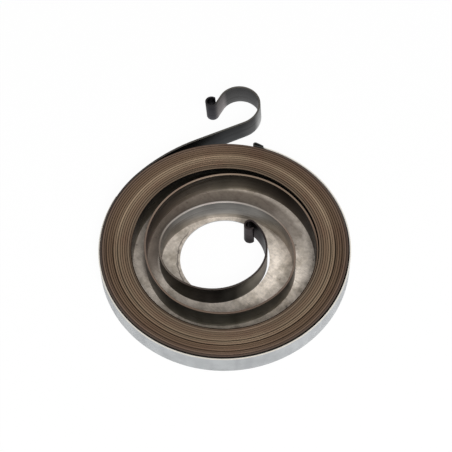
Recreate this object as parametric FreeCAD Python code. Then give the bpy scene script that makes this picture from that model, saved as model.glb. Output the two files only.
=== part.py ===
"""Recoil starter spring wound into its pressed keeper cup.

All sizes are in millimetres. The origin is the centre of the keeper's underside, +Z is up, and the spring's
outer hook reaches out towards +Y.
"""
import FreeCAD, Part
import math
import os

# Spring strip
strip_width = 6.5
strip_thickness = 0.48
turn_gap = 0.068

# Close-wound pack in the keeper: its turns lie closer together on the tight side than across from it
pack_radius = 30.05
pack_half_turns = 27
tail_angle = 135.0
tight_side_angle = 275.0
gap_unevenness = 0.023

# Tail and outer hook, walked outwards from the pack
tail_bend_radius = 45.0
tail_bend_turn = 22.7
tail_run = 13.2
heel_radius = 6.55
loop_radius = 5.2
loop_turn = 150.3
neck_run = 2.8
outer_curl_radius = 1.6
outer_curl_turn = 280.0

# Loose turns inside the pack: how much tighter than the pack's inner turn each quarter turn is
quarter_turn = 90.0
loose_insets = (0.7, 1.7, 2.7, 4.1, 7.8, 4.7, 11.7, 8.5, 12.2)
inner_curl_radius = 1.45
inner_curl_turn = 270.0

# Keeper cup
sheet = 0.3
wall_gap = 0.1
wall_height = 6.1
floor_hole_radius = 10.95

# Gap in the keeper's wall for the tail, and the hem where the wall's end is folded back outside
slot_start_angle = 74.0
slot_end_angle = 150.0
notch_depth = 0.4
hem_bend_radius = 0.45
hem_turn = 195.0
hem_run = 2.0
hem_foot = 1.2

# Worked out from the sizes above
turn_pitch = strip_thickness + turn_gap
pack_line_radius = pack_radius - strip_thickness / 2
inner_turn_radius = pack_line_radius - (pack_half_turns * turn_pitch + gap_unevenness) / 2
wall_inner_radius = pack_radius + wall_gap
wall_outer_radius = wall_inner_radius + sheet
corner_centre_height = sheet + wall_gap


class Pose:
    """A place on a strip's centreline and the way it is heading, in degrees."""

    def __init__(self, x, y, heading):
        self.x = x
        self.y = y
        self.heading = heading

    def beside(self, offset):
        """The point that lies offset to the left of this place."""
        across = math.radians(self.heading + 90)
        return FreeCAD.Vector(self.x + offset * math.cos(across), self.y + offset * math.sin(across), 0)

    def reversed(self):
        return Pose(self.x, self.y, self.heading + 180)


class Run:
    """A straight stretch."""

    def __init__(self, length):
        self.length = length

    def end(self, pose):
        along = math.radians(pose.heading)
        return Pose(pose.x + self.length * math.cos(along), pose.y + self.length * math.sin(along), pose.heading)

    def edge(self, pose, offset):
        return Part.makeLine(pose.beside(offset), self.end(pose).beside(offset))

    def backwards(self):
        return self


class Bend:
    """A round stretch: a positive turn goes left and a negative one right."""

    def __init__(self, radius, turn):
        self.radius = radius
        self.turn = turn

    def end(self, pose, share=1.0):
        reach = math.copysign(self.radius, self.turn)
        centre = pose.beside(reach)
        ahead = Pose(centre.x, centre.y, pose.heading + share * self.turn)
        place = ahead.beside(-reach)
        return Pose(place.x, place.y, ahead.heading)

    def edge(self, pose, offset):
        start = pose.beside(offset)
        middle = self.end(pose, 0.5).beside(offset)
        finish = self.end(pose).beside(offset)
        return Part.Arc(start, middle, finish).toShape()

    def backwards(self):
        return Bend(self.radius, -self.turn)


def pose_on_circle(radius, angle, heading):
    """A pose at a polar angle on a circle about the origin."""
    around = math.radians(angle)
    return Pose(radius * math.cos(around), radius * math.sin(around), heading)


def end_of_walk(pose, steps):
    for step in steps:
        pose = step.end(pose)
    return pose


def bent_strip(pose, steps, thickness, bottom, top):
    """The solid of a flat strip stood on edge that follows the steps."""
    left, right = [], []
    start = pose
    for step in steps:
        left.append(step.edge(pose, thickness / 2))
        right.append(step.edge(pose, -thickness / 2))
        pose = step.end(pose)
    start_cap = Part.makeLine(start.beside(-thickness / 2), start.beside(thickness / 2))
    end_cap = Part.makeLine(pose.beside(thickness / 2), pose.beside(-thickness / 2))
    outline = Part.Wire([start_cap] + left + [end_cap] + right[::-1])
    face = Part.Face(outline)
    face.translate(FreeCAD.Vector(0, 0, bottom))
    return face.extrude(FreeCAD.Vector(0, 0, top - bottom))


def hook_steps():
    """From the pack outwards: the easy bend, the straight tail, the loop, its neck and the end curl."""
    tail_heading = tail_angle - 90 - tail_bend_turn
    return [
        Bend(tail_bend_radius, -tail_bend_turn),
        Run(tail_run),
        Bend(heel_radius, 90 - tail_heading),
        Bend(loop_radius, loop_turn),
        Run(neck_run),
        Bend(outer_curl_radius - strip_thickness / 2, -outer_curl_turn),
    ]


def pack_steps():
    """Half turns that each come in by about half a pitch: a little more where they pass the tight side."""
    first_turn = tight_side_angle - tail_angle
    radius = pack_line_radius
    steps = [Bend(radius, first_turn)]
    for half in range(pack_half_turns):
        unevenness = -gap_unevenness if half % 2 else gap_unevenness
        radius -= (turn_pitch + unevenness) / 2
        steps.append(Bend(radius, 180))
    steps[-1].turn = 180 - first_turn
    return steps


def loose_steps():
    """Quarter turns that hang free inside the pack, and the small curl at the inner end."""
    quarters = [Bend(inner_turn_radius - inset, quarter_turn) for inset in loose_insets]
    return quarters + [Bend(inner_curl_radius - strip_thickness / 2, inner_curl_turn)]


def make_spring_strip():
    outwards = hook_steps()
    leaving_pack = pose_on_circle(pack_line_radius, tail_angle, tail_angle - 90)
    free_end = end_of_walk(leaving_pack, outwards).reversed()
    inwards = [step.backwards() for step in reversed(outwards)]
    steps = inwards + pack_steps() + loose_steps()
    return bent_strip(free_end, steps, strip_thickness, sheet, sheet + strip_width)


def corner_arc(radius):
    """The arc of the cup's bottom corner in the XZ plane, from the floor round to the wall."""
    centre_radius = wall_inner_radius - wall_gap

    def point(angle):
        x = centre_radius + radius * math.cos(math.radians(angle))
        z = corner_centre_height + radius * math.sin(math.radians(angle))
        return FreeCAD.Vector(x, 0, z)

    return Part.Arc(point(-90), point(-45), point(0)).toShape()


def make_cup():
    """The pressed sheet before its wall is opened: floor, round corner and wall."""
    outer_corner = corner_arc(wall_gap + sheet)
    inner_corner = corner_arc(wall_gap)
    floor_start, wall_start = (vertex.Point for vertex in (outer_corner.Vertexes[0], outer_corner.Vertexes[-1]))
    floor_end, wall_end = (vertex.Point for vertex in (inner_corner.Vertexes[0], inner_corner.Vertexes[-1]))
    hole_bottom = FreeCAD.Vector(floor_hole_radius, 0, 0)
    hole_top = FreeCAD.Vector(floor_hole_radius, 0, sheet)
    rim_outer = FreeCAD.Vector(wall_outer_radius, 0, wall_height)
    rim_inner = FreeCAD.Vector(wall_inner_radius, 0, wall_height)
    section = Part.Wire([
        Part.makeLine(hole_bottom, floor_start),
        outer_corner,
        Part.makeLine(wall_start, rim_outer),
        Part.makeLine(rim_outer, rim_inner),
        Part.makeLine(rim_inner, wall_end),
        inner_corner,
        Part.makeLine(floor_end, hole_top),
        Part.makeLine(hole_top, hole_bottom),
    ])
    return Part.Face(section).revolve(FreeCAD.Vector(0, 0, 0), FreeCAD.Vector(0, 0, 1), 360)


def make_slot():
    """The sector taken out of the wall, which also notches the floor's edge."""
    reach = wall_outer_radius + sheet
    height = wall_height + 2 * sheet
    base = FreeCAD.Vector(0, 0, -sheet)
    upwards = FreeCAD.Vector(0, 0, 1)
    sector = Part.makeCylinder(reach, height, base, upwards, slot_end_angle - slot_start_angle)
    core = Part.makeCylinder(pack_radius - notch_depth, height, base, upwards)
    slot = sector.cut(core)
    slot.rotate(FreeCAD.Vector(0, 0, 0), upwards, slot_start_angle)
    return slot


def make_hem():
    """The wall's end at the slot, folded back on the outside so that no sharp edge faces the strip."""
    wall_line_radius = (wall_inner_radius + wall_outer_radius) / 2
    root = pose_on_circle(wall_line_radius, slot_start_angle, slot_start_angle + 90)
    steps = [Bend(hem_bend_radius, -hem_turn), Run(hem_run)]
    return bent_strip(root, steps, sheet, hem_foot, wall_height)


def make_keeper():
    return make_cup().cut(make_slot()).fuse(make_hem())


def main():
    os.makedirs("parts", exist_ok=True)
    parts = {"spring_strip": make_spring_strip(), "keeper": make_keeper()}
    for name, shape in parts.items():
        solid = shape.Solids[0]
        solid.exportStep(f"parts/{name}.step")
        box = solid.BoundBox
        print(name, "solids", len(shape.Solids), "valid", solid.isValid(), "volume", round(solid.Volume, 2))
        print("  box", [round(v, 3) for v in (box.XMin, box.YMin, box.ZMin, box.XMax, box.YMax, box.ZMax)])


main()
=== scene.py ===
"""Dresses a recoil starter spring and the keeper cup that it is wound into.

Everything is in metres, in the frame of the solid model: +Z is up out of the cup, and the spring's outer hook
reaches out towards +Y.
"""
import math

import bmesh
import bpy
from mathutils import Matrix, Vector


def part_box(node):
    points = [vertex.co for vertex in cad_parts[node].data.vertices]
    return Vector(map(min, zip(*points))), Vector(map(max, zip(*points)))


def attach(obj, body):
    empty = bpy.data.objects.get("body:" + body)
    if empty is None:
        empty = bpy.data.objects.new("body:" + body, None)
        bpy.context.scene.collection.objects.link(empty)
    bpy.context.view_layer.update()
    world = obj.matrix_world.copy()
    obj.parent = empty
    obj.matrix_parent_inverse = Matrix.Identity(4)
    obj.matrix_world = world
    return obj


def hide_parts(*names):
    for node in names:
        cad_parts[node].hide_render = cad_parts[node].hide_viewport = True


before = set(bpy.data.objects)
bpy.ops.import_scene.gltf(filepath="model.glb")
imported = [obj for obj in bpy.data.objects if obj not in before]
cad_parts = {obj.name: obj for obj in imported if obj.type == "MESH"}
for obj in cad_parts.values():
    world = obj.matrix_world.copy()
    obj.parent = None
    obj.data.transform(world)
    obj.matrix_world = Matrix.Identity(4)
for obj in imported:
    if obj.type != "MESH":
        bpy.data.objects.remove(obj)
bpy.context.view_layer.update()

bl_info = {
    "name": "Recoil Starter Spring",
    "version": (1, 0, 0),
    "blender": (4, 5, 0),
    "location": "3D View > Sidebar > Starter Spring",
    "description": "Draws out a wound starter spring, finishes its keeper cup and sets them on a photo table",
    "category": "Object",
}

SPRING_LOW, SPRING_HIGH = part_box("spring_strip")
_, KEEPER_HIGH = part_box("keeper")
MM = 0.001
# Corners closer together than this are one corner
SAME_PLACE = 0.001 * MM
# Edges of the keeper's sheet that turn more than this are rounded
SHARP_EDGE = math.radians(50)


def length(name, description, millimetres):
    return bpy.props.FloatProperty(
        name=name, description=description, default=millimetres * MM, min=0,
        unit="LENGTH", subtype="DISTANCE", precision=5)


def angle(name, description, degrees):
    return bpy.props.FloatProperty(
        name=name, description=description, default=math.radians(degrees), unit="ROTATION", subtype="ANGLE")


def colour(name, description, red, green, blue):
    return bpy.props.FloatVectorProperty(
        name=name, description=description, default=(red, green, blue), min=0, max=1, size=3, subtype="COLOR")


def share(name, description, value, highest=1.0):
    return bpy.props.FloatProperty(
        name=name, description=description, default=value, min=0, max=highest, subtype="FACTOR")


class StripSettings(bpy.types.PropertyGroup):
    """Sizes and colours of the spring strip."""

    thickness: length("Thickness", "Thickness of the strip", 0.48)
    edge_rounding: length("Edge rounding", "Radius of the strip's rounded corners", 0.07)
    turn_gap: length("Turn gap", "Mean clear space between the turns of the pack", 0.068)
    pack_radius: length("Pack radius", "Outside radius of the wound pack", 30.05)
    pack_half_turns: bpy.props.IntProperty(
        name="Pack half turns", description="Number of half turns in the pack", default=27, min=2)
    tail_angle: angle("Tail angle", "Where the tail leaves the pack, round from +X", 135)
    tight_side_angle: angle("Tight side", "Where the pack's turns lie closest, round from +X", 275)
    gap_unevenness: length("Gap unevenness", "How much the pack's gaps differ from side to side", 0.023)
    tail_bend_radius: length("Tail bend radius", "Radius of the easy bend that leads off the pack", 45)
    tail_bend_turn: angle("Tail bend turn", "Turn of the easy bend that leads off the pack", 22.7)
    tail_run: length("Tail run", "Straight length of the tail", 13.2)
    heel_radius: length("Heel radius", "Radius of the bend from the tail into the loop", 6.55)
    loop_radius: length("Loop radius", "Radius of the outer hook's loop", 5.2)
    loop_turn: angle("Loop turn", "Turn of the outer hook's loop", 150.3)
    neck_run: length("Neck run", "Straight length between the loop and its end curl", 2.8)
    outer_curl_radius: length("Outer curl radius", "Outside radius of the curl that ends the hook", 1.6)
    outer_curl_turn: angle("Outer curl turn", "Turn of the curl that ends the hook", 280)
    inner_curl_radius: length("Inner curl radius", "Outside radius of the curl at the inner end", 1.45)
    inner_curl_turn: angle("Inner curl turn", "Turn of the curl that ends the innermost turn", 270)
    wander: length("Wander", "How far the pack's turns stand proud of one another", 0.035)
    lean_right: angle("Lean to the right", "How far the free hook leans to the right", 2.6)
    lean_back: angle("Lean to the back", "How far the free hook leans away from the pack", 3.2)
    front_ease: length("Front ease", "How far the first loose turn stands in at the front", 0.33)
    front_lean: angle("Front lean", "How far the first loose turn's foot leans in at the front", 2.8)
    seam_shade: share("Seam shade", "How much of an edge's colour is left at its corners", 0.8)
    face_roughness: share("Face roughness", "Roughness of the strip's faces", 0.33)
    edge_roughness: share("Edge roughness", "Roughness of the strip's slit edges", 0.46)


class KeeperSettings(bpy.types.PropertyGroup):
    """Finish of the keeper cup."""

    edge_rounding: length("Edge rounding", "Rounding of the sheet's cut edges", 0.07)
    floor_light: colour("Floor", "Plated steel of the floor", 0.62, 0.555, 0.485)
    floor_stain: colour("Floor stain", "Stains on the floor", 0.36, 0.315, 0.26)
    # Colour of the brown shade painted on the floor at the back
    painted_back_shade: colour("Oil film", "Brown oil film on the floor at the back", 0.09, 0.066, 0.05)
    wall_light: colour("Wall", "Plated steel of the wall's outside", 0.4, 0.414, 0.422)
    wall_streak: colour("Wall streak", "Draw marks on the wall's outside", 0.355, 0.366, 0.378)
    speck: colour("Specks", "Dark specks on the floor", 0.07, 0.055, 0.05)
    burr: colour("Burr", "Dirt along the burr beside the hole", 0.08, 0.066, 0.055)
    # Colour of the cut edge on top of the wall, partly a painted highlight
    rim: colour("Rim", "Cut edge on top of the wall", 0.72, 0.68, 0.61)
    # Near-black colour of the folded hem
    hem_black: colour("Hem", "Blackened steel of the folded hem", 0.018, 0.018, 0.016)
    roughness: share("Roughness", "Roughness of the plated sheet", 0.5)
    metal: share("Metal", "How far the plating reflects as metal does", 0.25)


class StageSettings(bpy.types.PropertyGroup):
    """Table, light and camera."""

    table_size: length("Table size", "Width of the pale table", 3000)
    table_white: share("Table white", "How far the table glows white for the camera", 0.96)
    sky_strength: share("Sky strength", "Strength of the even light from all round", 0.45, 3.0)
    softbox_power: bpy.props.FloatProperty(
        name="Softbox power", description="Power of the softbox above and in front of the part",
        default=3.0, min=0, unit="POWER")
    softbox_size: length("Softbox size", "Width of the softbox", 220)
    view_distance: length("View distance", "From the camera to the keeper's centre", 360)
    view_elevation: angle("View elevation", "Height of the camera above the table's plane", 59.72)
    focal_length: bpy.props.FloatProperty(
        name="Focal length", description="Focal length on a 36 mm wide sensor", default=117.25, min=1,
        unit="CAMERA")
    pan: bpy.props.FloatProperty(name="Pan", description="Camera's small turn to the right", default=0.00136)
    tilt: bpy.props.FloatProperty(name="Tilt", description="Camera's small turn upwards", default=0.02233)
    roll: angle("Roll", "Camera's small lean", math.degrees(-0.0256))


# How far from the strip's edges its flat faces begin, in roundings
FLAT_FACE_START = 3


def strip_section(mesh, thickness, width, rounding, place, inward):
    """The outline of the strip's rounded cross-section, stood on edge at a place. Returns its edges."""
    corners = bmesh.ops.create_grid(mesh, x_segments=1, y_segments=1, size=0.5)["verts"]
    bmesh.ops.scale(mesh, verts=corners, vec=(thickness, width, 1))
    bmesh.ops.bevel(
        mesh, geom=corners, offset=rounding, segments=3, profile=0.5, affect="VERTICES", material=-1)
    bmesh.ops.delete(mesh, geom=mesh.faces[:], context="FACES_ONLY")
    sides = [edge for edge in mesh.edges if edge.calc_length() > width / 2]
    bmesh.ops.subdivide_edges(mesh, edges=sides, cuts=2)
    middle = [vert for vert in mesh.verts if abs(vert.co.y) < width / 4]
    spread = (width / 2 - FLAT_FACE_START * rounding) / abs(middle[0].co.y)
    bmesh.ops.scale(mesh, verts=middle, vec=(1, spread, 1))
    across = mesh.verts.layers.float["across"]
    for vert in mesh.verts:
        vert[across] = 2 * vert.co.x / thickness
    stand = Matrix((inward, (0, 0, 1), inward.cross(Vector((0, 0, 1))))).transposed().to_4x4()
    bmesh.ops.transform(mesh, matrix=Matrix.Translation(place) @ stand, verts=mesh.verts[:])
    return mesh.edges[:]


def strip_mesh():
    """An empty mesh whose vertices can say where on the strip they lie."""
    mesh = bmesh.new()
    for name in ("along", "winding", "across"):
        mesh.verts.layers.float.new(name)
    return mesh


# How far behind its start a bend's vertex may seem to lie, as rounding of numbers puts it, in radians
BEHIND_START = 0.01


class StripLine:
    """Draws the strip out, stretch after stretch, and gathers the stretches in one mesh."""

    def __init__(self, gathered, strip, place, heading, sense):
        self.gathered = gathered
        self.strip = strip
        self.place = place.copy()
        self.heading = heading
        self.sense = sense
        self.length = 0.0
        self.winding = 0.0

    def left(self):
        return Vector((-math.sin(self.heading), math.cos(self.heading), 0))

    def start(self):
        mesh = strip_mesh()
        ring = strip_section(
            mesh, self.strip.thickness, SPRING_HIGH.z - SPRING_LOW.z, self.strip.edge_rounding, self.place,
            self.left() * self.sense)
        return mesh, ring

    def gather(self, mesh, progress, distance, winding, last_ring):
        """Marks how far along the strip each vertex lies and adds the stretch to the rest."""
        along = mesh.verts.layers.float["along"]
        wound = mesh.verts.layers.float["winding"]
        for vert in mesh.verts:
            done = progress(vert.co)
            vert[along] = self.sense * (self.length + done * distance)
            vert[wound] = self.sense * (self.winding + done * winding)
        if last_ring:
            bmesh.ops.edgeloop_fill(mesh, edges=last_ring)
        stretch = bpy.data.meshes.new("stretch")
        mesh.to_mesh(stretch)
        mesh.free()
        self.gathered.from_mesh(stretch)
        bpy.data.meshes.remove(stretch)
        self.length += distance
        self.winding += winding

    def run(self, distance, winding):
        """A straight stretch."""
        mesh, ring = self.start()
        ahead = Vector((math.cos(self.heading), math.sin(self.heading), 0))
        grown = bmesh.ops.extrude_edge_only(mesh, edges=ring)["geom"]
        moved = [part for part in grown if isinstance(part, bmesh.types.BMVert)]
        bmesh.ops.translate(mesh, verts=moved, vec=ahead * distance)
        origin = self.place.copy()
        self.gather(mesh, lambda point: (point - origin).dot(ahead) / distance, distance, winding, None)
        self.place += ahead * distance

    def bend(self, radius, turn, winding, segments, last=False):
        """A round stretch: a positive turn goes left and a negative one right."""
        mesh, ring = self.start()
        centre = self.place + self.left() * math.copysign(radius, turn)
        arm = self.place - centre
        way = math.copysign(1, turn)
        outline = ring + list({vert for edge in ring for vert in edge.verts})
        swept = bmesh.ops.spin(
            mesh, geom=outline, cent=centre, axis=(0, 0, 1), angle=turn, steps=segments, use_merge=False,
            use_duplicate=False)
        last_ring = [part for part in swept["geom_last"] if isinstance(part, bmesh.types.BMEdge)]

        def progress(point):
            gone = way * (math.atan2(point.y - centre.y, point.x - centre.x) - math.atan2(arm.y, arm.x))
            return ((gone + BEHIND_START) % math.tau - BEHIND_START) / abs(turn)

        self.gather(mesh, progress, radius * abs(turn), winding, last_ring if last else None)
        self.place = centre + Matrix.Rotation(turn, 3, "Z") @ arm
        self.heading += turn


# How much tighter than the pack's inner turn each loose quarter turn is, in mm
LOOSE_INSETS = (0.7, 1.7, 2.7, 4.1, 7.8, 4.7, 11.7, 8.5, 12.2)
HALF_TURN_SEGMENTS = 60
QUARTER_TURN_SEGMENTS = 30
TAIL_BEND_SEGMENTS = 10
HEEL_SEGMENTS = 14
LOOP_SEGMENTS = 28
CURL_SEGMENTS = 28
# What the inner curl adds to the count of turns
TIP_WINDING = 0.1


def draw_hook(line, strip):
    """From the pack outwards: the easy bend, the tail, its heel, the loop, its neck and the end curl."""
    circumference = math.tau * strip.pack_radius
    heel_turn = math.pi / 2 - (line.heading - strip.tail_bend_turn)
    curl_radius = strip.outer_curl_radius - strip.thickness / 2
    stretches = (
        (strip.tail_bend_radius, -strip.tail_bend_turn, TAIL_BEND_SEGMENTS),
        (strip.tail_run, None, None),
        (strip.heel_radius, heel_turn, HEEL_SEGMENTS),
        (strip.loop_radius, strip.loop_turn, LOOP_SEGMENTS),
        (strip.neck_run, None, None),
        (curl_radius, -strip.outer_curl_turn, CURL_SEGMENTS),
    )
    for number, (size, turn, segments) in enumerate(stretches, 1):
        if turn is None:
            line.run(size, size / circumference)
        else:
            line.bend(size, turn, size * abs(turn) / circumference, segments, last=number == len(stretches))


def draw_coil(line, strip):
    """From the pack's start inwards: the close turns, the loose turns and the inner curl."""
    pitch = strip.thickness + strip.turn_gap
    radius = strip.pack_radius - strip.thickness / 2
    first_turn = strip.tight_side_angle - strip.tail_angle
    line.bend(radius, first_turn, first_turn / math.tau, HALF_TURN_SEGMENTS)
    for half in range(strip.pack_half_turns):
        unevenness = -strip.gap_unevenness if half % 2 else strip.gap_unevenness
        radius -= (pitch + unevenness) / 2
        turn = math.pi if half < strip.pack_half_turns - 1 else math.pi - first_turn
        line.bend(radius, turn, turn / math.tau, max(round(HALF_TURN_SEGMENTS * turn / math.pi), 1))
    for inset in LOOSE_INSETS:
        line.bend(radius - inset * MM, math.pi / 2, 0.25, QUARTER_TURN_SEGMENTS)
    curl_radius = strip.inner_curl_radius - strip.thickness / 2
    line.bend(curl_radius, strip.inner_curl_turn, TIP_WINDING, CURL_SEGMENTS, last=True)


# Where the first loose turn stands in and leans in at its front, in windings: each starts at the first
# number, is in full from the second to the third and ends at the fourth
FRONT_EASE_REACH = (14.24, 14.36, 14.4, 14.56)
FRONT_LEAN_REACH = (14.3, 14.4, 14.4, 14.6)
# How far from the pack the tail's lean starts, and where it is in full
TAIL_LEAN_START = 10 * MM
TAIL_LEAN_FULL = 30 * MM
# How many times in a turn the strip rises and falls in the pack, in two waves laid over each other
SLOW_WAVE = 0.31
QUICK_WAVE = 0.83


def ease_in(value, low, high):
    """0 below low, 1 above high and smooth between them."""
    share_done = min(max((value - low) / (high - low), 0), 1)
    return share_done * share_done * (3 - 2 * share_done)


def hold(value, reach):
    """1 between the middle two bounds of a reach, 0 outside the outer two and smooth between them."""
    starts, full, fades, ends = reach
    return ease_in(value, starts, full) * (1 - ease_in(value, fades, ends))


def settle_strip(mesh, strip, last_winding):
    """Sets the strip as it lies in the cup.

    The pack's turns rise by slightly different amounts, the free hook leans, and the front of the first loose
    turn stands in and leans in.
    """
    wound = mesh.verts.layers.float["winding"]
    along = mesh.verts.layers.float["along"]
    for vert in mesh.verts:
        winding = vert[wound]
        held = ease_in(winding, 0, 0.5) * ease_in(last_winding - winding, 0, 2)
        waves = math.sin(math.tau * SLOW_WAVE * winding) + math.sin(math.tau * QUICK_WAVE * winding + 1)
        free = ease_in(-vert[along], TAIL_LEAN_START, TAIL_LEAN_FULL)
        drop = SPRING_HIGH.z - vert.co.z
        vert.co.x += math.tan(strip.lean_right) * free * drop
        vert.co.y += math.tan(strip.lean_back) * free * drop
        inwards = -Vector((vert.co.x, vert.co.y, 0)).normalized()
        foot_in = math.tan(strip.front_lean) * hold(winding, FRONT_LEAN_REACH) * drop
        vert.co += inwards * (strip.front_ease * hold(winding, FRONT_EASE_REACH) + foot_in)
        vert.co.z += strip.wander * held * (1 + waves / 2)


def new_piece(name, mesh):
    """A smooth-shaded object at the origin with this mesh."""
    data = bpy.data.meshes.new(name)
    mesh.to_mesh(data)
    mesh.free()
    data.shade_smooth()
    piece = bpy.data.objects.new(name, data)
    bpy.context.scene.collection.objects.link(piece)
    return piece


# Most values of a noise lie between these two
NOISE_LOW = 0.3
NOISE_HIGH = 0.7
# Sockets of a mix node for colours
MIX_FACTOR, MIX_FIRST, MIX_SECOND = 0, 6, 7
MIX_RESULT = 2


class Nodes:
    """A node tree under construction: makes nodes, joins them and sets their values."""

    def __init__(self, tree):
        self.tree = tree
        self.column = -2400

    def add(self, kind, inputs=None, **settings):
        made = self.tree.nodes.new(kind)
        made.location = (self.column, 0)
        self.column += 60
        for key, value in settings.items():
            setattr(made, key, value)
        for key, value in (inputs or {}).items():
            self.feed(made, key, value)
        return made

    def feed(self, to_node, key, value):
        if isinstance(value, bpy.types.NodeSocket):
            self.tree.links.new(value, to_node.inputs[key])
        else:
            to_node.inputs[key].default_value = value

    def maths(self, operation, first, second=0.0):
        return self.add("ShaderNodeMath", {0: first, 1: second}, operation=operation).outputs[0]

    def times(self, first, second):
        return self.maths("MULTIPLY", first, second)

    def plus(self, first, second):
        return self.maths("ADD", first, second)

    def larger(self, first, second):
        return self.maths("MAXIMUM", first, second)

    def unsigned(self, value):
        return self.maths("ABSOLUTE", value)

    def ease(self, value, low, high, start=0.0, finish=1.0):
        """Runs smoothly from start to finish as the value goes from low to high."""
        return self.add(
            "ShaderNodeMapRange",
            {"Value": value, "From Min": low, "From Max": high, "To Min": start, "To Max": finish},
            interpolation_type="SMOOTHSTEP").outputs["Result"]

    def hold(self, value, reach):
        """1 between the middle two bounds of a reach, 0 outside the outer two and smooth between them."""
        starts, full, fades, ends = reach
        return self.times(self.ease(value, starts, full), self.ease(value, ends, fades))


class Finish(Nodes):
    """The nodes of a new material."""

    def __init__(self, name):
        self.material = bpy.data.materials.new(name)
        self.material.use_nodes = True
        super().__init__(self.material.node_tree)
        self.shader = self.tree.nodes["Principled BSDF"]

    def read_places(self):
        """Where on the piece a point lies, and how far its face looks up."""
        places = self.add("ShaderNodeTexCoord").outputs
        self.place = places["Object"]
        self.x, self.y, self.height = self.add("ShaderNodeSeparateXYZ", {0: self.place}).outputs
        self.upright = self.add("ShaderNodeSeparateXYZ", {0: places["Normal"]}).outputs["Z"]

    def attribute(self, name):
        return self.add("ShaderNodeAttribute", attribute_name=name).outputs["Fac"]

    def vector(self, x, y, z):
        return self.add("ShaderNodeCombineXYZ", {"X": x, "Y": y, "Z": z}).outputs[0]

    def distance(self, first, second=(0, 0, 0)):
        return self.add("ShaderNodeVectorMath", {0: first, 1: second}, operation="DISTANCE").outputs["Value"]

    def noise(self, vector, scale, detail, roughness=0.5):
        return self.add(
            "ShaderNodeTexNoise",
            {"Vector": vector, "Scale": scale, "Detail": detail, "Roughness": roughness}).outputs["Fac"]

    def mix(self, factor, first, second, blend="MIX"):
        made = self.add("ShaderNodeMix", data_type="RGBA", blend_type=blend)
        for slot, value in ((MIX_FACTOR, factor), (MIX_FIRST, first), (MIX_SECOND, second)):
            self.feed(made, slot, value)
        return made.outputs[MIX_RESULT]

    def shade(self, colour_socket, factor):
        """The colour times a plain number."""
        scaled = self.add("ShaderNodeVectorMath", {0: colour_socket}, operation="SCALE")
        self.feed(scaled, "Scale", factor)
        return scaled.outputs[0]

    def vary(self, colour_socket, noise, at_low, at_high):
        """The colour times a number that follows a noise."""
        return self.shade(colour_socket, self.ease(noise, NOISE_LOW, NOISE_HIGH, at_low, at_high))


def opaque(rgb):
    return (rgb[0], rgb[1], rgb[2], 1)


# How an edge's colour changes from turn to turn, counted inwards from the place where the tail leaves the
# pack: on the hook, in the pack and in the loose turns. The bright stops of the loose turns are painted
# highlight on their top edges.
EDGE_COLOURS_AND_HIGHLIGHTS = (
    (
        (-0.33, (0.03, 0.028, 0.03)),
        (-0.295, (0.045, 0.042, 0.044)),
        (-0.285, (0.12, 0.113, 0.1)),
        (-0.2, (0.12, 0.114, 0.1)),
        (-0.12, (0.09, 0.086, 0.078)),
        (-0.05, (0.06, 0.055, 0.05)),
        (0.0, (0.05, 0.042, 0.038)),
    ),
    (
        (0.0, (0.05, 0.042, 0.038)),
        (0.3, (0.085, 0.062, 0.05)),
        (1.3, (0.108, 0.074, 0.054)),
        (3.0, (0.138, 0.092, 0.062)),
        (5.5, (0.138, 0.092, 0.06)),
        (6.5, (0.17, 0.122, 0.083)),
        (7.7, (0.25, 0.185, 0.125)),
        (9.0, (0.172, 0.121, 0.082)),
        (10.8, (0.12, 0.082, 0.055)),
        (12.5, (0.155, 0.115, 0.081)),
        (13.5, (0.1, 0.07, 0.05)),
    ),
    (
        (13.5, (0.1, 0.07, 0.05)),
        (13.875, (0.21, 0.16, 0.12)),
        (14.125, (0.12, 0.09, 0.072)),
        (14.375, (0.15, 0.108, 0.083)),
        (14.7, (0.17, 0.13, 0.105)),
        # Painted highlight on the innermost turns' top edges, brightest near 14.87
        (14.8, (0.3, 0.272, 0.245)),
        (14.87, (0.38, 0.35, 0.325)),
        (14.95, (0.36, 0.332, 0.308)),
        (15.02, (0.26, 0.235, 0.21)),
        (15.1, (0.14, 0.12, 0.1)),
        (15.3, (0.06, 0.05, 0.043)),
        (15.7, (0.03, 0.024, 0.024)),
    ),
)
# Windings at the left of the pack from which a turn's inner corner gets painted shade along its seam, round
# the front to the right, and how much of the colour is left there
PAINTED_SEAM_SHADES = ((2.05, 0.45), (5.05, 0.22), (7.05, 0.3), (13.05, 0.25))
# How the colour of the strip's outer face changes, by the same count. Its bright stops are a painted
# highlight on the hook's neck and painted reflection on the loose turns.
OUTSIDE_COLOURS_AND_REFLECTIONS = (
    (
        (-0.33, (0.048, 0.046, 0.052)),
        (-0.297, (0.05, 0.048, 0.054)),
        # Painted highlight on the hook's neck
        (-0.29, (0.17, 0.155, 0.155)),
        (-0.275, (0.2, 0.185, 0.185)),
        (-0.268, (0.07, 0.069, 0.069)),
        (-0.2, (0.072, 0.072, 0.073)),
        (-0.12, (0.03, 0.029, 0.029)),
        (0.0, (0.016, 0.015, 0.014)),
    ),
    (
        (0.0, (0.016, 0.015, 0.014)),
        (13.5, (0.016, 0.015, 0.014)),
    ),
    (
        (13.5, (0.016, 0.015, 0.014)),
        (14.0, (0.035, 0.033, 0.029)),
        # Painted reflection on the first loose turn's front
        (14.15, (0.085, 0.077, 0.068)),
        (14.375, (0.2, 0.2, 0.18)),
        (14.55, (0.17, 0.155, 0.134)),
        (14.8, (0.05, 0.045, 0.038)),
        (15.25, (0.055, 0.05, 0.041)),
        (15.35, (0.03, 0.028, 0.026)),
        (15.38, (0.013, 0.012, 0.011)),
        (15.405, (0.02, 0.02, 0.019)),
        (15.43, (0.032, 0.031, 0.029)),
        # Painted reflection near the inner curl
        (15.48, (0.13, 0.13, 0.12)),
        (15.54, (0.22, 0.216, 0.21)),
        (15.62, (0.03, 0.026, 0.027)),
        (15.7, (0.03, 0.026, 0.027)),
    ),
)
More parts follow.
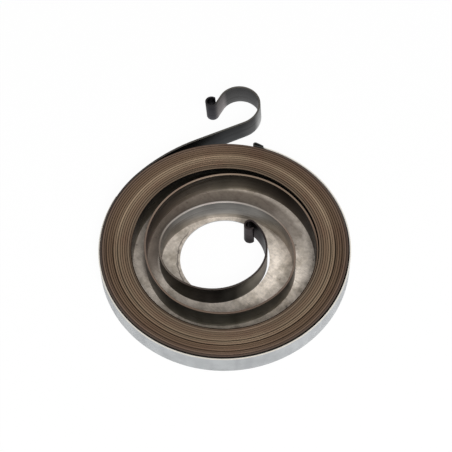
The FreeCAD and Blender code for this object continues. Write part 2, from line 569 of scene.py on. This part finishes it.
# How the colour of the face that looks at the centre changes, by the same count. Its bright stops on the
# hook's heel and on the loose turns are painted highlight and reflection. Its dark stops on the tail and on
# the loose turns are painted shade.
INSIDE_COLOURS_AND_PAINTED_LIGHT = (
    (
        (-0.33, (0.04, 0.038, 0.043)),
        (-0.215, (0.09, 0.09, 0.089)),
        # Painted highlight on the hook's heel
        (-0.206, (0.36, 0.36, 0.355)),
        (-0.19, (0.34, 0.34, 0.335)),
        (-0.18, (0.085, 0.085, 0.085)),
        (-0.16, (0.052, 0.053, 0.054)),
        (-0.12, (0.034, 0.035, 0.037)),
        # Painted shade on the tail close to the pack
        (-0.085, (0.018, 0.018, 0.018)),
        (0.0, (0.014, 0.013, 0.013)),
    ),
    (
        (0.0, (0.014, 0.013, 0.013)),
        (12.6, (0.1, 0.09, 0.08)),
        (12.9, (0.22, 0.21, 0.18)),
        (13.5, (0.27, 0.235, 0.21)),
    ),
    (
        (13.5, (0.2, 0.17, 0.15)),
        (13.58, (0.03, 0.025, 0.022)),
        (13.75, (0.05, 0.042, 0.036)),
        (13.81, (0.15, 0.138, 0.122)),
        (13.845, (0.24, 0.228, 0.2)),
        (13.886, (0.19, 0.184, 0.163)),
        (13.93, (0.33, 0.31, 0.28)),
        (14.1, (0.31, 0.262, 0.235)),
        (14.5, (0.18, 0.15, 0.132)),
        (14.66, (0.37, 0.33, 0.295)),
        (14.75, (0.34, 0.318, 0.288)),
        (14.79, (0.28, 0.265, 0.245)),
        (14.84, (0.2, 0.192, 0.18)),
        (14.95, (0.22, 0.21, 0.197)),
        (15.1, (0.18, 0.165, 0.15)),
        (15.35, (0.05, 0.042, 0.038)),
        (15.62, (0.022, 0.017, 0.019)),
        (15.7, (0.03, 0.024, 0.026)),
    ),
)


def turn_colours(finish, winding, stretches):
    """The colour at a winding number. Each stretch has its own ramp: one alone would blur the short hook."""
    colour_here = None
    for colour_stops in stretches:
        first, last = colour_stops[0][0], colour_stops[-1][0]
        place = finish.add(
            "ShaderNodeMapRange", {"Value": winding, "From Min": first, "From Max": last}).outputs["Result"]
        ramp = finish.add("ShaderNodeValToRGB", {"Fac": place})
        stops = ramp.color_ramp.elements
        stops[0].color = opaque(colour_stops[0][1])
        stops[1].color = opaque(colour_stops[-1][1])
        for turn, rgb in colour_stops[1:-1]:
            stops.new((turn - first) / (last - first)).color = opaque(rgb)
        found = ramp.outputs["Color"]
        if colour_here:
            found = finish.mix(finish.maths("GREATER_THAN", winding, first), colour_here, found)
        colour_here = found
    return colour_here


# Heights between which the strip's faces change from foot to top, and between which the light foot fades.
# Both changes are painted reflection of the bright floor.
FACE_LOW = 0.5 * MM
FACE_HIGH = 6.5 * MM
FOOT_LOW = 0.4 * MM
FOOT_HIGH = 1.8 * MM
# Windings between which the innermost turn begins; its outer face gets painted light towards its top
INNERMOST_START = 14.95
INNERMOST_FULL = 15.15
# Length of a seam's painted shade and of its fading ends, in turns
SEAM_LENGTH = 0.65
SEAM_FADE = 0.1
ROSY_TARNISH = (0.92, 0.8, 0.82, 1)


def strip_edges(finish, strip, winding, across, along, clouds):
    """Slit edges whose brown differs from turn to turn, with painted highlights on the loose turns, painted
    sheen at the sides and painted shade at their corners and at a few seams.
    """
    by_turn = finish.noise(finish.vector(finish.times(winding, 1.7), 0.37, 0.61), 1.0, 2.0, 0.65)
    along_turn = finish.noise(
        finish.vector(finish.times(along, 14), finish.times(winding, 1.7), 0.2), 1.0, 3.0)
    # Brown by turn, with painted highlight on the loose turns' top edges
    edge = turn_colours(finish, winding, EDGE_COLOURS_AND_HIGHLIGHTS)
    edge = finish.vary(edge, by_turn, 0.76, 1.27)
    edge = finish.vary(edge, along_turn, 0.88, 1.13)
    edge = finish.mix(finish.ease(clouds, 0.45, 0.7, 0.0, 0.45), edge, ROSY_TARNISH, "MULTIPLY")
    # Painted sheen: the edges are lighter towards the left and right of the pack
    edge = finish.shade(edge, finish.ease(finish.unsigned(finish.x), 8 * MM, 22 * MM, 1.0, 1.15))
    # Painted shade at the edges' corners, along the seams between turns
    edge = finish.shade(edge, finish.ease(finish.unsigned(across), 0.45, 1.0, 1.0, strip.seam_shade))
    # Painted shade along a few seams between turns
    for turn, left_over in PAINTED_SEAM_SHADES:
        end = turn + SEAM_LENGTH
        round_front = finish.hold(winding, (turn, turn + SEAM_FADE, end - SEAM_FADE, end))
        dark = finish.times(round_front, finish.ease(across, -0.7, 0.2))
        edge = finish.shade(edge, finish.ease(dark, 0.0, 1.0, 1.0, left_over))
    return edge


def strip_faces(finish, winding, across, rolling, clouds):
    """Faces that are black on the pack's outside and rolled grey inside, with painted reflection that makes
    them lighter at their foot and painted light towards the top of the innermost turn's outside.
    """
    outside = turn_colours(finish, winding, OUTSIDE_COLOURS_AND_REFLECTIONS)
    inside = turn_colours(finish, winding, INSIDE_COLOURS_AND_PAINTED_LIGHT)
    faces = finish.mix(finish.ease(across, -0.3, 0.3), outside, inside)
    faces = finish.shade(faces, finish.ease(clouds, 0.35, 0.7, 1.08, 0.85))
    faces = finish.shade(faces, finish.ease(rolling, 0.25, 0.75, 0.78, 1.22))
    # Painted reflection of the floor: lighter at the foot, darker at the top
    faces = finish.shade(faces, finish.ease(finish.height, FACE_LOW, FACE_HIGH, 1.4, 0.75))
    faces = finish.shade(faces, finish.ease(finish.height, FOOT_LOW, FOOT_HIGH, 1.3, 1.0))
    innermost = finish.ease(winding, INNERMOST_START, INNERMOST_FULL)
    innermost_outside = finish.times(innermost, finish.ease(across, 0.3, -0.3))
    # Painted light: the innermost turn's outer face is lighter towards its top
    painted_top_light = finish.shade(faces, finish.ease(finish.height, FACE_LOW, FACE_HIGH, 0.65, 2.6))
    return finish.mix(innermost_outside, faces, painted_top_light)


def strip_finish(strip):
    """Tempered spring steel with fine lines rolled along it."""
    finish = Finish("tempered_spring_steel")
    finish.read_places()
    winding = finish.attribute("winding")
    across = finish.attribute("across")
    along = finish.attribute("along")
    rolled_place = finish.vector(
        finish.times(along, 35), finish.times(across, 1.4), finish.times(finish.height, 1900))
    rolling = finish.noise(rolled_place, 1.0, 5.0, 0.62)
    clouds = finish.noise(finish.place, 160.0, 4.0)
    edge_mask = finish.ease(finish.unsigned(finish.upright), 0.15, 0.5)
    edges = strip_edges(finish, strip, winding, across, along, clouds)
    faces = strip_faces(finish, winding, across, rolling, clouds)
    finish.feed(finish.shader, "Base Color", finish.mix(edge_mask, faces, edges))

    roughness = finish.add(
        "ShaderNodeMapRange",
        {"Value": edge_mask, "To Min": strip.face_roughness, "To Max": strip.edge_roughness})
    streaks = finish.ease(rolling, 0.25, 0.75, -0.08, 0.1)
    finish.feed(finish.shader, "Roughness", finish.plus(roughness.outputs["Result"], streaks))
    finish.feed(finish.shader, "Metallic", 1.0)
    finish.feed(finish.shader, "Specular Tint", (0.6, 0.6, 0.6, 1))
    grain = finish.plus(rolling, finish.times(finish.noise(finish.place, 2600.0, 2.0), 0.3))
    bump = finish.add("ShaderNodeBump", {"Strength": 0.35, "Distance": 0.02 * MM, "Height": grain})
    finish.feed(finish.shader, "Normal", bump.outputs[0])
    return finish.material


# Middle of the painted pool of light on the floor, and how far from it the pool starts to fade and ends
PAINTED_LIGHT_MIDDLE = (12.5 * MM, -7 * MM, 0)
PATCH_FULL = 4 * MM
PATCH_END = 14 * MM
# The brown painted shade on the floor comes in over this distance from the middle of the floor towards the
# back. It stays out of an oval inside the innermost turn, about 15.4 by 12.8 mm in half widths, and is thin
# past the first loose turn.
SHADE_EDGE = 8 * MM
OVAL_SCALE = (65, 78, 0)
OVAL_SHIFT = (0.078, 0, 0)
THIN_SHADE_START = 19.3 * MM
THIN_SHADE_FULL = 20.5 * MM
# The burr line beside the hole, by distance from the axis, and how far to the left it starts
BURR_REACH = (12.1 * MM, 12.3 * MM, 12.4 * MM, 12.6 * MM)
BURR_WANDER = 1.4 * MM
BURR_START_X = -8 * MM
BURR_FULL_X = -9.5 * MM
# The wall has a little painted shade at its front and painted light at its sides. This fades between these
# distances from the middle.
WALL_FRONT_X = 2 * MM
WALL_SIDE_X = 26 * MM
# How far below the wall's top its cut edge, whose bright colour is partly a painted highlight, starts to show
# and shows in full
RIM_START = 0.12 * MM
RIM_FULL = 0.04 * MM
# Where the hem's black starts and where it is in full: leftwards, outwards and towards the back
HEM_X = (11.2 * MM, 10.2 * MM)
HEM_RADIUS = (29.95 * MM, 30.1 * MM)
HEM_Y = (26 * MM, 28 * MM)


def marked_floor(finish, keeper, flat_place, clouds, blotches):
    """Warm sheet with stains, specks, scratches and a painted pool of light."""
    floor = finish.mix(finish.ease(clouds, 0.4, 0.68), opaque(keeper.floor_light), opaque(keeper.floor_stain))
    floor = finish.vary(floor, blotches, 1.1, 0.87)
    floor = finish.vary(floor, finish.noise(finish.place, 1700.0, 3.0, 0.65), 1.12, 0.87)
    speckle = finish.add("ShaderNodeTexVoronoi", {"Vector": finish.place, "Scale": 330.0, "Randomness": 1.0})
    speck_mask = finish.times(
        finish.ease(speckle.outputs["Distance"], 0.15, 0.07), finish.ease(clouds, 0.5, 0.58))
    floor = finish.mix(finish.times(speck_mask, 0.8), floor, opaque(keeper.speck))
    # A painted pool of light on the floor, brightest round its middle
    from_patch = finish.distance(flat_place, PAINTED_LIGHT_MIDDLE)
    floor = finish.shade(floor, finish.ease(from_patch, PATCH_FULL, PATCH_END, 1.5, 0.93))
    slant = finish.plus(finish.y, finish.x)
    scratches = finish.noise(
        finish.vector(finish.times(finish.x, 160), finish.times(slant, 1300), 0.0), 1.0, 3.0, 0.6)
    return finish.shade(floor, finish.ease(scratches, 0.32, 0.45, 0.78, 1.0))


def painted_shade_cover(finish, flat_place, radius, clouds):
    """How much of the floor's colour the brown painted shade takes: most at the back and on the left."""
    to_back_left = finish.plus(finish.times(finish.x, -0.45), finish.times(finish.y, 0.9))
    darkening = finish.larger(
        finish.ease(to_back_left, 0.0, SHADE_EDGE), finish.ease(finish.y, 0.0, SHADE_EDGE, 0.0, 0.75))
    oval = finish.add(
        "ShaderNodeMapping", {"Vector": flat_place, "Location": OVAL_SHIFT, "Scale": OVAL_SCALE})
    darkening = finish.times(darkening, finish.ease(finish.distance(oval.outputs[0]), 0.97, 1.0))
    darkening = finish.times(darkening, finish.ease(radius, THIN_SHADE_START, THIN_SHADE_FULL, 1.0, 0.3))
    return finish.times(darkening, finish.ease(clouds, NOISE_LOW, NOISE_HIGH, 0.95, 0.65))


def burr_line(finish, radius, blotches):
    """A wandering line that follows the hole on the left."""
    uneven_radius = finish.plus(radius, finish.times(blotches, BURR_WANDER))
    line = finish.hold(uneven_radius, BURR_REACH)
    return finish.times(line, finish.ease(finish.x, BURR_START_X, BURR_FULL_X))


def wall_sheet(finish, keeper, drawn, clouds):
    """Cooler sheet with draw marks, painted shade at its front and painted light at its sides."""
    wall = finish.mix(finish.ease(drawn, 0.4, 0.72), opaque(keeper.wall_light), opaque(keeper.wall_streak))
    wall = finish.vary(wall, clouds, 1.06, 0.92)
    # Painted shade at the wall's front, painted light at its sides
    return finish.shade(wall, finish.ease(finish.unsigned(finish.x), WALL_FRONT_X, WALL_SIDE_X, 0.88, 1.1))


def keeper_finish(keeper):
    """Plated sheet: a stained warm floor with brown painted shade at the back and a painted pool of light, a
    cooler wall with draw marks and painted shade at its front, a rim partly painted bright as a highlight and
    a near-black hem.
    """
    finish = Finish("plated_keeper_sheet")
    finish.read_places()
    flat_place = finish.vector(finish.x, finish.y, 0.0)
    radius = finish.distance(flat_place)
    clouds = finish.noise(finish.place, 190.0, 6.0, 0.62)
    blotches = finish.noise(finish.place, 620.0, 4.0, 0.6)
    drawn_place = finish.vector(
        finish.times(finish.x, 420), finish.times(finish.y, 420), finish.times(finish.height, 55))
    drawn = finish.noise(drawn_place, 1.0, 4.0, 0.55)

    floor = marked_floor(finish, keeper, flat_place, clouds, blotches)
    # Brown painted shade on the floor at the back
    floor = finish.mix(painted_shade_cover(finish, flat_place, radius, clouds), floor, opaque(keeper.painted_back_shade))
    floor = finish.mix(finish.times(burr_line(finish, radius, blotches), 0.75), floor, opaque(keeper.burr))
    wall = wall_sheet(finish, keeper, drawn, clouds)
    flat_mask = finish.ease(finish.unsigned(finish.upright), 0.4, 0.8)
    colour_here = finish.mix(flat_mask, wall, floor)
    # The rim's cut edge, painted bright, partly as a highlight
    rim_mask = finish.ease(finish.height, KEEPER_HIGH.z - RIM_START, KEEPER_HIGH.z - RIM_FULL)
    colour_here = finish.mix(rim_mask, colour_here, opaque(keeper.rim))
    # Near-black colour on the folded hem
    hem_mask = finish.times(finish.ease(finish.x, *HEM_X), finish.ease(radius, *HEM_RADIUS))
    hem_mask = finish.times(hem_mask, finish.ease(finish.y, *HEM_Y))
    colour_here = finish.mix(hem_mask, colour_here, opaque(keeper.hem_black))
    finish.feed(finish.shader, "Base Color", colour_here)

    worn = finish.ease(clouds, NOISE_LOW, NOISE_HIGH, keeper.roughness - 0.08, keeper.roughness + 0.12)
    finish.feed(finish.shader, "Roughness", worn)
    finish.feed(finish.shader, "Metallic", keeper.metal)
    relief = finish.mix(flat_mask, drawn, blotches)
    bump = finish.add("ShaderNodeBump", {"Strength": 0.3, "Distance": 0.03 * MM, "Height": relief})
    finish.feed(finish.shader, "Normal", bump.outputs[0])
    return finish.material


def background_rays(nodes):
    """1 for the rays that show the background: the camera's own, reflected and passed through."""
    rays = nodes.add("ShaderNodeLightPath").outputs
    seen = nodes.larger(rays["Is Camera Ray"], rays["Is Glossy Ray"])
    return nodes.larger(seen, rays["Is Transmission Ray"])


def table_finish(stage):
    """A white table that keeps part of the shadow that falls on it."""
    finish = Finish("white_table")
    output = finish.tree.nodes["Material Output"]
    finish.feed(finish.shader, "Base Color", (0.92, 0.92, 0.92, 1))
    finish.feed(finish.shader, "Roughness", 0.9)
    finish.feed(finish.shader, "Specular IOR Level", 0.0)
    glow = finish.add("ShaderNodeEmission", {"Color": (1, 1, 1, 1), "Strength": 1.0})
    glow_share = finish.times(background_rays(finish), stage.table_white)
    both = finish.add(
        "ShaderNodeMixShader", {0: glow_share, 1: finish.shader.outputs[0], 2: glow.outputs[0]})
    finish.feed(output, "Surface", both.outputs[0])
    return finish.material


class STARTER_OT_spring_strip(bpy.types.Operator):
    """Draws out the wound strip with its hook and its inner curl, in place of the plain solid"""

    bl_idname = "starter.spring_strip"
    bl_label = "Spring strip"

    def execute(self, context):
        strip = context.scene.starter_strip
        mesh = strip_mesh()
        outward = Vector((math.cos(strip.tail_angle), math.sin(strip.tail_angle), 0))
        place = outward * (strip.pack_radius - strip.thickness / 2)
        place.z = (SPRING_LOW.z + SPRING_HIGH.z) / 2
        draw_hook(StripLine(mesh, strip, place, strip.tail_angle - math.pi / 2, -1), strip)
        coil = StripLine(mesh, strip, place, strip.tail_angle + math.pi / 2, 1)
        draw_coil(coil, strip)
        bmesh.ops.remove_doubles(mesh, verts=mesh.verts[:], dist=SAME_PLACE)
        settle_strip(mesh, strip, coil.winding)
        bmesh.ops.recalc_face_normals(mesh, faces=mesh.faces[:])
        piece = new_piece("wound_spring_strip", mesh)
        piece.data.materials.append(strip_finish(strip))
        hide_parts("spring_strip")
        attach(piece, "root")
        return {"FINISHED"}


class STARTER_OT_keeper(bpy.types.Operator):
    """Rounds the cut edges of the keeper's sheet and gives it its plated finish"""

    bl_idname = "starter.keeper"
    bl_label = "Keeper cup"

    def execute(self, context):
        keeper = context.scene.starter_keeper
        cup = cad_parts["keeper"]
        self.weld(cup)
        bevel = cup.modifiers.new("Rounded edges", "BEVEL")
        bevel.width = keeper.edge_rounding
        bevel.segments = 2
        bevel.limit_method = "ANGLE"
        bevel.angle_limit = SHARP_EDGE
        self.weld(cup)
        material = keeper_finish(keeper)
        for slot in cup.material_slots:
            slot.material = material
        if not cup.material_slots:
            cup.data.materials.append(material)
        return {"FINISHED"}

    def weld(self, cup):
        """Joins corners that lie in one place."""
        weld = cup.modifiers.new("Weld", "WELD")
        weld.merge_threshold = SAME_PLACE


TABLE_GAP = 0.02 * MM
SOFTBOX_PLACE = Vector((80, -380, 460)) * MM
NEAREST_SEEN = 10 * MM


class STARTER_OT_stage(bpy.types.Operator):
    """Sets up the pale table, the soft light and the camera"""

    bl_idname = "starter.stage"
    bl_label = "Table, light and camera"

    def execute(self, context):
        stage = context.scene.starter_stage
        mesh = bmesh.new()
        bmesh.ops.create_grid(mesh, x_segments=1, y_segments=1, size=stage.table_size / 2)
        bmesh.ops.translate(mesh, verts=mesh.verts[:], vec=(0, 0, -TABLE_GAP))
        table = new_piece("table", mesh)
        table.data.materials.append(table_finish(stage))
        self.light(context, stage)
        self.camera(context, stage)
        return {"FINISHED"}

    def light(self, context, stage):
        world = bpy.data.worlds.new("soft_sky")
        context.scene.world = world
        world.use_nodes = True
        nodes = Nodes(world.node_tree)
        strength = nodes.add(
            "ShaderNodeMapRange",
            {"Value": background_rays(nodes), "To Min": stage.sky_strength, "To Max": 1.0}).outputs["Result"]
        sky = nodes.tree.nodes["Background"]
        nodes.feed(sky, "Color", (1, 1, 1, 1))
        nodes.feed(sky, "Strength", strength)
        lamp = bpy.data.lights.new("softbox", "AREA")
        lamp.shape = "SQUARE"
        lamp.size = stage.softbox_size
        lamp.energy = stage.softbox_power
        softbox = bpy.data.objects.new("softbox", lamp)
        softbox.location = SOFTBOX_PLACE
        softbox.rotation_euler = (-SOFTBOX_PLACE).to_track_quat("-Z", "Y").to_euler()
        context.scene.collection.objects.link(softbox)

    def camera(self, context, stage):
        rise = stage.view_elevation
        stand = Vector((0, -math.cos(rise), math.sin(rise))) * stage.view_distance
        ahead = -stand.normalized()
        right = ahead.cross(Vector((0, 0, 1))).normalized()
        up = right.cross(ahead)
        ahead = (ahead + stage.pan * right + stage.tilt * up).normalized()
        right = ahead.cross(Vector((0, 0, 1))).normalized()
        up = right.cross(ahead)
        leant_right = math.cos(stage.roll) * right + math.sin(stage.roll) * up
        leant_up = math.cos(stage.roll) * up - math.sin(stage.roll) * right
        data = bpy.data.cameras.new("camera")
        data.lens = stage.focal_length
        data.clip_start = NEAREST_SEEN
        camera = bpy.data.objects.new("camera", data)
        turn = Matrix((leant_right, leant_up, -ahead)).transposed().to_4x4()
        camera.matrix_world = Matrix.Translation(stand) @ turn
        context.scene.collection.objects.link(camera)
        context.scene.camera = camera
        context.scene.view_settings.view_transform = "Standard"


class STARTER_PT_panel(bpy.types.Panel):
    """Sizes, colours and steps of the starter spring"""

    bl_idname = "STARTER_PT_panel"
    bl_label = "Starter Spring"
    bl_space_type = "VIEW_3D"
    bl_region_type = "UI"
    bl_category = "Starter Spring"

    def draw(self, context):
        for operator, settings in STEPS:
            box = self.layout.box()
            box.operator(operator.bl_idname)
            group = getattr(context.scene, settings)
            for name in group.__annotations__:
                box.prop(group, name)


STEPS = (
    (STARTER_OT_spring_strip, "starter_strip"),
    (STARTER_OT_keeper, "starter_keeper"),
    (STARTER_OT_stage, "starter_stage"),
)
SETTINGS = {"starter_strip": StripSettings, "starter_keeper": KeeperSettings, "starter_stage": StageSettings}


def register():
    for name, group in SETTINGS.items():
        bpy.utils.register_class(group)
        setattr(bpy.types.Scene, name, bpy.props.PointerProperty(type=group))
    for operator, _ in STEPS:
        bpy.utils.register_class(operator)
    bpy.utils.register_class(STARTER_PT_panel)


def unregister():
    bpy.utils.unregister_class(STARTER_PT_panel)
    for operator, _ in reversed(STEPS):
        bpy.utils.unregister_class(operator)
    for name, group in SETTINGS.items():
        delattr(bpy.types.Scene, name)
        bpy.utils.unregister_class(group)


def main():
    register()
    bpy.ops.starter.spring_strip()
    bpy.ops.starter.keeper()
    bpy.ops.starter.stage()


if __name__ == "__main__":
    main()
